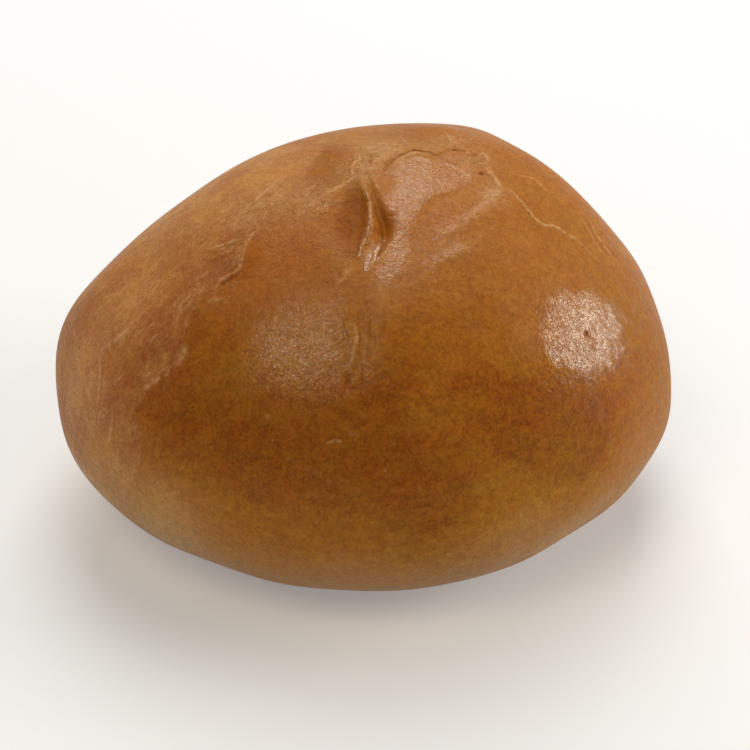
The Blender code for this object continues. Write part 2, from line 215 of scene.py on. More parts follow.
    "crown lump": ([(15.8, 33.3), (15.5, 32.3), (16, 31.5)], 0.1, 0.35, 0.35, 0.5, 0.7),
    "scar shade": ([(-8, -11.4), (-6.9, -11.3), (-5.5, -11.3)], -0.2, 0.2, 0.2, 0.5, 0),
    "right cheek line": ([(32.5, 0.8), (34.4, -2.4), (36.1, -6), (37.5, -9.6), (39, -13.5)],
        0.1, 1.2, 0.8, 0.5, 0.1),
}
ROUTE_STEP = 0.4
WRINKLE_REACH = 3.0

# How unevenly fine wrinkles run, and over what length: sideways, in width and in height
WANDER, WANDER_LENGTH = 0.16, 2.1
WIDTH_RIPPLE, WIDTH_RIPPLE_LENGTH = 0.4, 1.3
HEIGHT_RIPPLE, HEIGHT_RIPPLE_LENGTH = 0.5, 1.7
RIPPLE_PACES = (0.41, 0.63, 1.0, 1.57)
RIPPLE_PHASE = 1.9
# Wrinkles in different places start in different parts of a ripple
PHASE_SPREAD = 7.0

# Round hollows (-) and swellings (+): place on the plane, radius and height
DIMPLES = {
    "left shoulder of the crease": ((-8.5, 22), 4, 0.25),
    "left cheek hollow": ((-30, 3.5), 3.5, -0.3),
    "low pit": ((34.5, 6.8), 0.36, -0.32),
    "crown bump": ((10, 40), 3.6, 0.5),
    "left of the crown": ((-1.5, 39.2), 5, -0.4),
    "upper left end": ((-43.2, 16.6), 4.5, 0.35),
    "left end": ((-50.5, -1.5), 4, -0.3),
    "lower right rim": ((16.5, -30.8), 6, 0.35),
    "cheek pit": ((41.1, 3.6), 0.3, -0.2),
    "cheek pit 2": ((43.1, 3.4), 0.25, -0.18),
    "cheek pit 3": ((40.3, 1.6), 0.25, -0.15),
    "foot pit": ((-1.5, 11.8), 0.32, -0.16),
    "low pit 2": ((34.5, 5.6), 0.2, -0.05),
    "crown pit": ((17.3, 33), 0.38, -0.42),
    "crown pit 2": ((13.1, 36.9), 0.22, -0.2),
    "front pit": ((12.7, -7.8), 0.3, -0.12),
    "right wart": ((30.2, -1.3), 0.28, 0.12),
    "right wart 2": ((28.6, 0.5), 0.28, 0.12),
}
# Those of a smaller radius than this are pits and warts: a finer mesh, and painted shade in the bottom
SMALL_PIT = 1.0

# How much painted shade a groove's depth lays on the crust: with flanks finer than this, with wider ones, and
# in a pit
FINE_FLANK = 0.5
FINE_GROOVE_SHADE = 2.0
WIDE_GROOVE_SHADE = 0.42
PIT_SHADE = 5.0
# How much glaze a groove of this depth loses, and how much deeper a pit counts there
GLAZE_LOST = 0.9
DEPTH_OF_LEAST_GLAZE = 0.6
PIT_DEPTH_COUNT = 1.3

# Where the glaze was brushed: it lies on the right of the left shore and above the lower shore
LEFT_SHORE = [
    (-43.3, -23.7), (-38.7, -15.5), (-37.7, -10.6), (-38.8, -6.5), (-37.4, -3.1), (-33.5, 0.5), (-31.3, 4.9),
    (-30.5, 10.1), (-28.4, 11.8), (-26, 14.7), (-21.9, 18.4), (-20.7, 22.7), (-18.1, 26.4), (-13.5, 31),
    (-8.7, 36.7), (-4.9, 45.7),
]
LOWER_SHORE = [
    (53, 7.3), (43.3, -1.6), (36.7, -8.7), (30.2, -11.6), (20.4, -14.2), (13.1, -18.3), (4.1, -21.7),
    (-10.6, -22.2), (-20.4, -20.4), (-28.6, -16.8), (-36.7, -14.2), (-46.5, -11.4), (-57.9, -7.3),
]
# How far each shore's soft edge reaches to either side
LEFT_SHORE_WIDTH = 1.6
LOWER_SHORE_WIDTH = 6.0
RIM_SHORE_WIDTH = 1.8
# The rim under the lower shore: the share of glaze that it has, and how its browning and redness differ
RIM_GLAZE = 0.25
RIM_BROWNING = -0.08
RIM_REDNESS = -0.6

# On the side that the photo hides: how thick the glaze is and how much browner the crust, above a pale rim
GLAZE_BEHIND = 0.4
BROWNED_BEHIND = 0.45
RIM_LEVEL = 6.0
RIM_DEPTH = 16.0
# That side begins where the crust faces the eye by this cosine, and is full this much farther round
LAST_SEEN = 0.1875
TURNED_AWAY = 0.625

# How brown the crust is: a base, and spots that baked more (+) or less (-), and spots of painted shade in the
# crease: place, radius and amount
BROWNING = 0.35
BROWNED_AND_SHADED_SPOTS = {
    "front": ((-8, -12), 20, 0.55),
    "left front": ((-28, -12), 12, 0.35),
    "front right": ((16, -6), 16, 0.35),
    "right cheek": ((33, -10), 11, 0.6),
    "right end": ((46, 4), 14, 0.3),
    # Painted shade: these four spots darken the crease's hollow and slot and the shaded side of the brow
    # above
    "hollow": ((-4, 25), 3.2, 0.45),
    "slot": ((1.2, 24.4), 2, 0.32),
    "top of the hollow": ((-4.9, 28.6), 2.6, 0.45),
    "above the hollow": ((-7.2, 33), 3.6, 0.6),
    "below the crown fold": ((3.2, 19.6), 3.6, -0.2),
    "left of the knot": ((-7.6, 36.2), 4, 0.45),
    "right of the scar": ((17.5, -5), 6, -0.3),
    "below the slot": ((0.8, 12.2), 4, -0.3),
    "right foot": ((33.5, -20), 5, 0.3),
    "left seam": ((-23.5, 18.8), 4, 0.5),
    "left middle": ((-36, 1), 8, 0.35),
    "upper left cheek": ((-40, 12.5), 6, -0.38),
    "left end": ((-48, 0), 6, -0.4),
    "left cheek": ((-33, -10), 7, 0.25),
    "lower front": ((10, -22.5), 7, 0.4),
    "right of the front": ((9, -7.5), 5, -0.25),
    "beside the right cheek": ((25.5, 6), 5, -0.25),
    "low right": ((33, -9), 7, 0.42),
    "rim": ((0, -33), 8, -0.1),
    "lower left rim": ((-34, -21), 10, -0.35),
    "lower right rim": ((34, -21), 10, -0.25),
    "upper left": ((-26, 31), 14, -0.5),
    "back": ((-6, 38), 12, -0.25),
}

# Patches that baked more (+) or less (-), and painted shade in the hollow: outline on the plane, how soft its
# edge is, and amount
BAKED_AND_SHADED_PATCHES = {
    "lower right": ([(15.5, 1.6), (23.7, 0.5), (30.2, -2.1), (35.1, -5.7), (37.2, -10.6), (36.7, -14.7),
        (30.2, -15.5), (20.4, -12.2), (13.9, -7.3), (12.2, -1.6)], 3.0, 0.35),
    "under the right cheek": ([(23.7, 0.5), (27.7, -0.8), (30.5, -2.1), (33.5, -3.9), (35.7, -6.7),
        (36.7, -10), (37.7, -13.5), (43.3, -13.1), (46.8, -7.3), (46.8, -0.8), (43.3, 1.1), (39.2, -0.5),
        (35.1, -1.5), (30.2, -0.8)], 1.2, -0.05),
    # Painted shade in the crease's hollow
    "hollow": ([(-2.9, 31.8), (-4.9, 30), (-5.9, 27.7), (-6.2, 25), (-5.7, 22), (-4.7, 19.4), (-3.1, 18.4),
        (-1.5, 22), (-0.8, 25), (-0.7, 27.9), (-1.5, 29.9)], 1.0, 0.55),
}

# Where the crust is redder (+) or yellower (-) than its browning makes it; in the hollow and the slot it is
# redder as painted shade
REDDENED_SPOTS = {
    "upper left cheek": ((-40.5, 18), 5, 0.5),
    "left of the hollow": ((-18, 20), 9, 0.9),
    "left brow": ((-8, 30), 5, 0.1),
    "left shore": ((-32, 10), 8, 0.8),
    "left end": ((-40, 2), 9, 0.6),
    "left middle": ((-38, -4), 8, 0.4),
    "left seam": ((-23.5, 18.8), 4, 0.8),
    # Painted shade: the hollow and the slot made redder
    "hollow": ((-2.6, 25), 4, 0.25),
    "slot": ((1, 24.6), 2, 0.9),
    "right cheek": ((41, -2), 7, 0.7),
    "left front": ((-24, -1.5), 5, -0.6),
    "lower right": ((29, -18), 9, -1),
    "lower left": ((-38, -22), 8, -0.6),
    "lower right rim": ((14, -28), 9, -0.5),
    "top right": ((33, 25), 7, -0.6),
    "right edge": ((42, 10), 8, -0.6),
    "under the right cheek": ((39, -8), 6, 0.5),
}

# How thick the glaze is: a base, and spots of more (+) or less (-): place, radius and amount
GLAZE = 0.16
GLAZED_SPOTS = {
    "left brow": ((-9, 27), 6, -0.1),
    "left of the crown": ((3.6, 31.2), 4, -0.12),
    "hollow": ((-4.5, 25.5), 4, -0.16),
    "right cheek": ((33.5, 7.5), 12, 0.1),
    "left bumps": ((-35, -0.8), 4, 0.45),
}

# Glossy patches: their outline on the plane, how soft its edge is, and how much glaze they add
GLOSSY_PATCHES = {
    "below the crown": ([(3.3, 22.8), (6.5, 21.1), (5.7, 18.4), (3.4, 15.5), (0.8, 13.5), (-0.2, 15.5),
        (1.5, 18.4), (2.4, 20.7)], 1.0, 0.26),
    "crown": ([(3.3, 33.1), (4.2, 34.9), (6.5, 35.9), (9.3, 35.4), (12.6, 35.6), (15.8, 34.6), (17, 32.8),
        (15.8, 30.8), (12.6, 30.2), (9.6, 29.4), (7.5, 27.6), (6.7, 25.3), (5.9, 22.4), (5.7, 19.4),
        (4.4, 16.5), (2.6, 13.9), (0.8, 13.5), (0.3, 16.2), (2.3, 20.4), (3.6, 23.7), (2.9, 26.3),
        (1.6, 28.1), (2.6, 29.5), (3.6, 31.2)], 1.2, 0.5),
    "upper band": ([(18.1, 30.2), (20.4, 30.2), (20.1, 27.9), (17.1, 25.3), (13.9, 23.3), (11.3, 21.4),
        (9.3, 21.7), (10.3, 23.7), (13.5, 25.8), (16.5, 27.6)], 1.2, 0.3),
    "lower band": ([(15.5, 22), (17.8, 22.4), (15.5, 19.7), (12.2, 18), (9.3, 17), (8.3, 18.4),
        (11.6, 20.4)], 1.4, 0.5),
    "right cheek": ([(27.4, 4.4), (27.1, 8.7), (28.1, 12.2), (30.2, 14.2), (32.5, 13.5), (34.8, 13.7),
        (36.7, 12.1), (38.7, 11.4), (40.5, 9), (40.2, 6.7), (41, 4.4), (39, 0.7), (37.2, 0.8), (35.7, -0.5),
        (33.1, 0.2), (31.2, 1.1), (29.1, 1.5)], 1.5, 1.1),
    "above the right cheek": ([(24.6, 14.2), (26.6, 16.5), (31.8, 15.8), (30.2, 13.9), (27.7, 12.2),
        (25.3, 10.9)], 2.0, 0.3),
    "left cheek": ([(-20.1, 4.1), (-19.1, 9.3), (-14.2, 12.2), (-6.5, 12.2), (-3.8, 8.2), (-4.1, 0.5),
        (-7.3, -2.1), (-13.9, -2.4), (-18.8, -0.5)], 5.5, 1.12),
    "spine": ([(-1.8, 30.8), (-0.7, 29.2), (0, 27.3), (-0.2, 25), (-0.7, 23), (-1.5, 21.1), (-2.6, 18.8),
        (-3.1, 19.3), (-2.1, 21.5), (-1.5, 23.7), (-1.1, 26), (-1.3, 27.9), (-2.1, 30.2)], 0.3, 0.9),
    "slot": ([(-0.2, 22.4), (0.8, 21.4), (-0.2, 19.1), (-1.1, 17), (-2.3, 17.1), (-1.6, 19.6)], 0.3, 0.35),
    "glint": ([(1.1, 23), (1.8, 22.7), (1, 20.9), (0.2, 19.1), (-0.8, 17.1), (-1.8, 16.6), (-1.5, 18.1),
        (-0.7, 19.7), (0.3, 21.5)], 0.25, 1.4),
}
# How far the patches' edges fray, and the ripples that move them right and up: heading and length
PATCH_FRAY = 0.5
FRAY_RIPPLES = (((0.9, 0.3, 0.5), 2.6), ((0.2, 0.8, -0.6), 2.2))

# Where the skin is crumpled and flaky: place, radius and amount
CRUMPLED_SPOTS = {
    "knot": ((-2.5, 34), 3, 0.9),
    "behind the knot": ((1.5, 37), 3.4, 0.9),
    "crown": ((13, 38), 4, 0.5),
    "right of the crown": ((17.5, 34.5), 2.6, 0.3),
    "right brow": ((19.5, 29.5), 2.4, 0.6),
    "left brow": ((-10, 28.5), 3.5, 0.7),
    "upper left": ((-19, 27), 5, 0.5),
    "left seam": ((-25, 14.5), 3.5, 0.25),
}

ICOSPHERE_SUBDIVISIONS = 7
# The mesh's edges are halved this near to a wrinkle's line, once for each distance
REFINE_WITHIN = (2.0, 0.9)

# The crust's colours as it bakes, palest first, then those of the dry left side
PALE = (0.48, 0.23, 0.07, 1)
TAN = (0.4, 0.15, 0.03, 1)
BROWN = (0.35, 0.12, 0.009, 1)
DEEP = (0.285, 0.083, 0.004, 1)
PINK = (0.425, 0.175, 0.062, 1)
GOLD = (0.49, 0.225, 0.064, 1)
# Dried flecks and folds, also painted highlight on wrinkle crests; flakes of skin; dark pores, also painted
# shade in grooves and pits
FLECK_AND_HIGHLIGHT = (0.68, 0.41, 0.19, 1)
FLAKE = (0.58, 0.3, 0.14, 1)
BURNT_AND_SHADE = (0.16, 0.04, 0.008, 1)
# What multiplies the colour near the foot, what is mixed into it, and between which levels both fade out
OLIVE = (0.81, 1.04, 2.00, 1)
RIM = (0.28, 0.2, 0.11, 1)
FOOT_TINT_FADES = (4.0, 26.0)

# How far each of these covers the crust under it
DRY_SIDE_COVER = 0.65
FLECK_COVER = 0.66
FLAKE_COVER = 0.5
FOLD_COVER = 0.75
PORE_COVER = 0.45
SPECK_COVER = 0.2
GROOVE_SHADE_COVER = 0.45
RIM_COVER = 0.14

# How deep the relief of each texture is
MOTTLE_RELIEF = 0.12
GRAIN_RELIEF = 0.07
PEEL_RELIEF = 0.17
STREAK_RELIEF = 0.045
FOLD_RELIEF = 0.16

# The ways that the fine wrinkles run: over the left side, over the right cheek and round the belly
LEFT_GRAIN = (0.78, 0.4, 0.48)
RIGHT_GRAIN = (0.71, -0.42, -0.57)
BELLY_GRAIN = (1.0, 0.0, 0.12)
# The glaze is smeared to the right of here, fully beyond the second place
SMEARED_FROM = (12.0, 22.0)

# What is the same all over the crust, and all over the floor
CRUST_SETTINGS = {
    "IOR": 1.45,
    "Specular IOR Level": 0.12,
    "Specular Tint": (1.0, 0.85, 0.65, 1.0),
    "Coat IOR": 1.6,
    "Coat Roughness": 0.17,
    "Subsurface Weight": 0.1,
    "Subsurface Radius": (1.0, 0.45, 0.2),
    "Subsurface Scale": 1.5 * MM,
}
FLOOR_SETTINGS = {
    "Base Color": (0.77, 0.81, 0.9, 1.0),
    "Roughness": 0.9,
    "Specular IOR Level": 0.1,
    "Emission Color": (1.0, 1.0, 1.0, 1.0),
    "Emission Strength": 0.22,
}
FLOOR_WIDTH = 4000.0

# Each lamp: azimuth from +X and elevation of its place, distance, width and height in metres, power, colour
LAMPS = {
    "back window": (90, 54, 0.95, 0.56, 0.66, 4.65, (1.0, 0.94, 0.81)),
    "ceiling lamp": (60, 80, 1.0, 0.4, 0.4, 1.0, (1.0, 0.98, 0.95)),
    "right window": (5, 19, 1.0, 0.54, 0.5, 5.0, (1.0, 0.9, 0.75)),
    "left lamp": (-125, 57, 1.0, 0.5, 0.42, 2.3, (1.0, 0.8, 0.5)),
}
WORLD_COLOUR = (1.0, 0.99, 0.97, 1)
WORLD_STRENGTH = 0.17


def direction(azimuth, elevation):
    """The unit vector of these two angles."""
    az, el = np.radians(azimuth), np.radians(elevation)
    return np.array((np.cos(el) * np.cos(az), np.cos(el) * np.sin(az), np.sin(el)))


def smoothstep(share):
    share = np.clip(share, 0.0, 1.0)
    return share * share * (3.0 - 2.0 * share)


def soft_edge(distance, width):
    """From 0 at this width outside an edge to 1 at the same width inside it, where the distance is +."""
    return smoothstep(0.5 + distance / width / 2.0)


def bell(points, centre, radius):
    """A round bell that is 1 at the centre, at each point."""
    return np.exp(-((np.linalg.norm(points - centre, axis=1) / radius) ** 2))


def body_points(rays):
    """Where unit rays from the middle of the widest level meet the smooth body, its foot cut flat at 0."""
    rise = np.where(rays[:, 2] > 0.0, CROWN_RISE, BELLY_DROP)
    shares = rays[:, 0] / HALF_WIDTH, rays[:, 1] / HALF_DEPTH, rays[:, 2] / rise
    reach = (shares[0] ** 2 + shares[1] ** 2 + shares[2] ** 2) ** -0.5
    for azimuth, elevation, spread, height in LOBES.values():
        off = np.degrees(np.arccos(np.clip(rays @ direction(azimuth, elevation), -1.0, 1.0)))
        reach += height * np.exp(-((off / spread) ** 2))
    points = rays * reach[:, None]
    above = points[:, 2] + WIDEST_LEVEL
    rounded = (above + FOOT_EDGE_SOFTNESS) ** 2 / (4.0 * FOOT_EDGE_SOFTNESS)
    cut = np.where(above < -FOOT_EDGE_SOFTNESS, 0.0, rounded)
    points[:, 2] = np.where(above > FOOT_EDGE_SOFTNESS, above, cut)
    return points


def waves(points):
    """The height of the slow waves at each point."""
    draw = np.random.default_rng(WAVE_SEED)
    height = np.zeros(len(points))
    for _ in range(WAVE_COUNT):
        heading = draw.normal(size=3)
        heading /= np.linalg.norm(heading)
        length = draw.uniform(SHORTEST_WAVE, LONGEST_WAVE)
        phase = draw.uniform(0.0, 2.0 * np.pi)
        height += WAVE_HEIGHT * np.sin(points @ heading * 2.0 * np.pi / length + phase)
    return height


def smooth_curve(stops, step):
    """Points about one step apart along a Catmull-Rom curve through the stops."""
    stops = np.asarray(stops, float)
    ends = np.vstack((2 * stops[0] - stops[1], stops, 2 * stops[-1] - stops[-2]))
    found = []
    for i in range(1, len(ends) - 2):
        before, start, end, after = ends[i - 1 : i + 3]
        count = max(2, int(np.ceil(np.linalg.norm(end - start) / step)))
        t = np.linspace(0.0, 1.0, count, endpoint=False)[:, None]
        found.append(0.5 * (2 * start + (end - before) * t
                            + (2 * before - 5 * start + 4 * end - after) * t ** 2
                            + (3 * start - before - 3 * end + after) * t ** 3))
    return np.vstack(found + [stops[-1:]])


def sight():
    """The eye, and the right and up of the plane that it faces."""
    lean = math.radians(LEAN)
    right = Vector((1.0, 0.0, 0.0))
    up = Vector((0.0, math.sin(lean), math.cos(lean)))
    eye = PLANE_CENTRE - EYE_DISTANCE * Vector((0.0, math.cos(lean), -math.sin(lean)))
    return eye, right, up


def fall_on_crust(route, tree):
    """The route's points on the crust, and the crust's normals there, along sight lines from the eye."""
    eye, right, up = sight()
    hits = []
    for across, height in route:
        target = PLANE_CENTRE + right * float(across) + up * float(height)
        place, normal, _, _ = tree.ray_cast(eye, (target - eye).normalized())
        if place is not None:
            hits.append((place, normal))
    return np.array([tuple(p) for p, _ in hits]), np.array([tuple(n) for _, n in hits])


def measure(points, line, reach):
    """For the points within reach of the line's box: their indices, their distances from the line, how far
    along it they are as a share, the segments nearest to them, and the gaps from those."""
    low, high = line.min(0) - reach, line.max(0) + reach
    near = np.flatnonzero(((points > low) & (points < high)).all(1))
    start, run = line[:-1], np.diff(line, axis=0)
    length = np.linalg.norm(run, axis=1)
    along = np.concatenate(((0.0,), np.cumsum(length)))
    to = points[near][:, None, :] - start[None]
    t = np.clip((to * run).sum(2) / length ** 2, 0.0, 1.0)
    gap = to - t[..., None] * run
    distance = np.linalg.norm(gap, axis=2)
    rows = np.arange(len(near))
    best = distance.argmin(1) if len(near) else np.zeros(0, int)
    travel = (along[best] + t[rows, best] * length[best]) / along[-1]
    return near, distance[rows, best], travel, best, gap[rows, best]


def ripple(along, wave):
    """An uneven wave of about this length along a line, from -1 to 1."""
    made = sum(np.sin(along * (2.0 * math.pi * pace / wave) + RIPPLE_PHASE * pace) for pace in RIPPLE_PACES)
    return made / len(RIPPLE_PACES)


def wrinkle_height(points, line, normals, height, left, right, peak):
    """What one wrinkle adds at each point: a bell-shaped ridge or groove that fades out towards its ends."""
    added = np.zeros(len(points))
    near, distance, travel, best, gap = measure(points, line, WRINKLE_REACH * max(left, right))
    if not len(near):
        return added
    run = np.diff(line, axis=0)
    side = (np.cross(run[best], normals[best]) * gap).sum(1)
    along = travel * np.linalg.norm(run, axis=1).sum() + PHASE_SPREAD * line[0].sum()
    slim = max(0.0, min(1.0, 2.0 - 2.0 * max(left, right))) * max(0.0, 1.0 - abs(height))
    across = np.copysign(distance, side) + WANDER * slim * ripple(along, WANDER_LENGTH)
    width = np.where(across > 0.0, right, left)
    width *= 1.0 + WIDTH_RIPPLE * slim * ripple(along, WIDTH_RIPPLE_LENGTH)
    fade = smoothstep(travel / peak) * smoothstep((1.0 - travel) / (1.0 - peak))
    fade *= 1.0 + HEIGHT_RIPPLE * slim * ripple(along, HEIGHT_RIPPLE_LENGTH)
    added[near] = height * fade * np.exp(-((across / width) ** 2))
    return added


def on_plane(points):
    """Where sight lines from the eye to the points cross the plane, as (right, up)."""
    eye, right, up = (np.array(v) for v in sight())
    ahead = np.cross(up, right)
    to = points - eye
    return np.stack((to @ right, to @ up), 1) * (EYE_DISTANCE / (to @ ahead))[:, None]


def right_of(places, line):
    """How far each place on the plane lies to the right of the line, and negative to its left."""
    line = np.asarray(line, float)
    start, run = line[:-1], np.diff(line, axis=0)
    to = places[:, None, :] - start[None]
    t = np.clip((to * run).sum(2) / (run ** 2).sum(1), 0.0, 1.0)
    gap = to - t[..., None] * run
    distance = np.linalg.norm(gap, axis=2)
    best = distance.argmin(1)
    rows = np.arange(len(places))
    turn = gap[rows, best, 0] * run[best, 1] - gap[rows, best, 1] * run[best, 0]
    return distance[rows, best] * np.sign(turn)


def inside(places, corners):
    """How far each place on the plane lies inside a closed outline, and negative outside it."""
    corners = np.asarray(corners, float)
    ends = np.roll(corners, -1, axis=0)
    run = ends - corners
    to = places[:, None, :] - corners[None]
    t = np.clip((to * run).sum(2) / (run ** 2).sum(1), 0.0, 1.0)
    distance = np.linalg.norm(to - t[..., None] * run, axis=2).min(1)
    spans = (corners[:, 1] > places[:, 1:2]) != (ends[:, 1] > places[:, 1:2])
    rise = np.where(run[:, 1] == 0.0, 1.0, run[:, 1])
    crossing = corners[:, 0] + run[:, 0] * (places[:, 1:2] - corners[:, 1]) / rise
    crossed = spans & (places[:, 0:1] < crossing)
    return np.where(crossed.sum(1) % 2 == 1, distance, -distance)


def sphere():
    shape = bmesh.new()
    bmesh.ops.create_icosphere(shape, subdivisions=ICOSPHERE_SUBDIVISIONS, radius=1.0)
    return shape


def on_body(shape):
    """Where the vertices of a sphere come to lie on the smooth body."""
    return body_points(np.array([v.co.normalized() for v in shape.verts]))


def moved_to(shape, points):
    for vertex, point in zip(shape.verts, points):
        vertex.co = point
    return shape


def refined_sphere(lines):
    """A triangulated unit sphere whose triangles are smaller along these lines on the body."""
    shape = sphere()
    for within in REFINE_WITHIN:
        points = on_body(shape)
        wanted = np.zeros(len(points), bool)
        for line in lines:
            near, distance, _, _, _ = measure(points, line, within)
            wanted[near[distance < within]] = True
        shape.verts.index_update()
        edges = [e for e in shape.edges if wanted[e.verts[0].index] and wanted[e.verts[1].index]]
        bmesh.ops.subdivide_edges(shape, edges=edges, cuts=1, use_grid_fill=False)
        bmesh.ops.triangulate(shape, faces=[f for f in shape.faces if len(f.verts) > 3])
    return shape


def smooth_body_tree():
    """The smooth body, to cast sight lines on."""
    body = sphere()
    tree = BVHTree.FromBMesh(moved_to(body, on_body(body)))
    body.free()
    return tree


def spotted(points, tree, base, spots):
    """A value at each point: a base, and round spots that add to it or take from it."""
    value = np.full(len(points), base)
    for place, radius, amount in spots.values():
        centre, _ = fall_on_crust([place], tree)
        value += amount * bell(points, centre[0], radius)
    return value


def crust_relief(points, lines, tree):
    """At each point: how far the crust stands out, how deep a groove is and how much painted shade it gets,
    and how pale a fold is, dried glaze and in part a painted highlight.
    """
    relief = waves(points)
    depth, groove, pale = np.zeros((3, len(points)))
    for (_, height, left, right, peak, paleness), (line, normals) in zip(WRINKLES.values(), lines):
        added = wrinkle_height(points, line, normals, height, left, right, peak)
        sunk = np.maximum(-added, 0.0)
        relief += added
        depth += sunk
        # Painted shade: a groove's depth darkens its bottom
        groove += sunk * (FINE_GROOVE_SHADE if max(left, right) < FINE_FLANK else WIDE_GROOVE_SHADE)
        # A ridge's pale crest: dried glaze, and in part a painted highlight where it catches light
        if paleness:
            pale = np.maximum(pale, paleness * added / height)
    for place, radius, height in DIMPLES.values():
        centre, _ = fall_on_crust([place], tree)
        added = height * bell(points, centre[0], radius)
        relief += added
        # Small pits get painted shade in their bottoms too
        if radius < SMALL_PIT:
            sunk = np.maximum(-added, 0.0)
            groove += sunk * PIT_SHADE
            depth += sunk * PIT_DEPTH_COUNT
    return relief, depth, groove, pale


def baking(points, outward, depth, tree):
    """By name, what the material reads of browning, with painted shade in the crease, and of glaze at each
    point.
    """
    bake_and_shade = spotted(points, tree, BROWNING, BROWNED_AND_SHADED_SPOTS)
    glaze = spotted(points, tree, GLAZE, GLAZED_SPOTS)
    crumple = spotted(points, tree, 0.0, CRUMPLED_SPOTS)
    redness = spotted(points, tree, 0.0, REDDENED_SPOTS)
    glaze *= 1.0 - GLAZE_LOST * smoothstep(depth / DEPTH_OF_LEAST_GLAZE)

    to_eye = np.array(sight()[0]) - points
    facing = (outward * to_eye).sum(1) / np.linalg.norm(to_eye, axis=1)
    seen = facing > 0.0
    behind = smoothstep((LAST_SEEN - facing) / TURNED_AWAY)

    places = on_plane(points)
    moves = [ripple(points @ heading, length) for heading, length in FRAY_RIPPLES]
    frayed = places + PATCH_FRAY * np.stack(moves, 1)
    for value, patches in ((glaze, GLOSSY_PATCHES), (bake_and_shade, BAKED_AND_SHADED_PATCHES)):
        for corners, softness, amount in patches.values():
            value += amount * seen * soft_edge(inside(frayed, corners), softness)

    below = right_of(places, LOWER_SHORE)
    glaze *= RIM_GLAZE + (1.0 - RIM_GLAZE) * soft_edge(below, LOWER_SHORE_WIDTH)
    rim = (1.0 - behind) * soft_edge(-below, RIM_SHORE_WIDTH)
    bake_and_shade += RIM_BROWNING * rim
    redness += RIM_REDNESS * rim

    shore = np.maximum(soft_edge(right_of(places, LEFT_SHORE), LEFT_SHORE_WIDTH), behind)
    above_rim = smoothstep((points[:, 2] - RIM_LEVEL) / RIM_DEPTH)
    glaze = np.maximum(glaze, GLAZE_BEHIND * behind * above_rim)
    bake_and_shade += BROWNED_BEHIND * behind * above_rim
    return {"bake_and_shade": bake_and_shade, "shore": shore, "glaze": glaze, "crumple": crumple, "redness": redness}


def crust_piece(node):
    """The crust, as one closed mesh with what its material reads at each point, and how far it was moved."""
    tree = smooth_body_tree()
    lines = [fall_on_crust(smooth_curve(route, ROUTE_STEP), tree) for route, *_ in WRINKLES.values()]
    pits = [fall_on_crust((place, (place[0] + radius, place[1])), tree)[0]
            for place, radius, _ in DIMPLES.values() if radius < SMALL_PIT]
    shape = refined_sphere([line for line, _ in lines] + pits)
    points = on_body(shape)
    moved_to(shape, points).normal_update()
    outward = np.array([v.normal for v in shape.verts])

    relief, depth, groove, pale = crust_relief(points, lines, tree)
    read = {"groove": groove, "pale": pale, **baking(points, outward, depth, tree)}
    points += outward * (relief * smoothstep(points[:, 2] / FOOT_EDGE_SOFTNESS))[:, None]

    mesh = bpy.data.meshes.new("crust")
    shape.to_mesh(mesh)
    shape.free()
    low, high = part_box(node)
    middle = (points.min(0) + points.max(0)) / 2.0
    shift = Vector(((low.x + high.x) / 2.0 - middle[0] * MM, (low.y + high.y) / 2.0 - middle[1] * MM, low.z))
    mesh.vertices.foreach_set("co", (points * MM + np.array(shift)).astype(np.float32).ravel())
    for name, values in read.items():
        mesh.attributes.new(name, "FLOAT", "POINT").data.foreach_set("value", values.astype(np.float32))
    mesh.update()
    mesh.shade_smooth()
    piece = bpy.data.objects.new("crust", mesh)
    bpy.context.scene.collection.objects.link(piece)
    return piece, shift


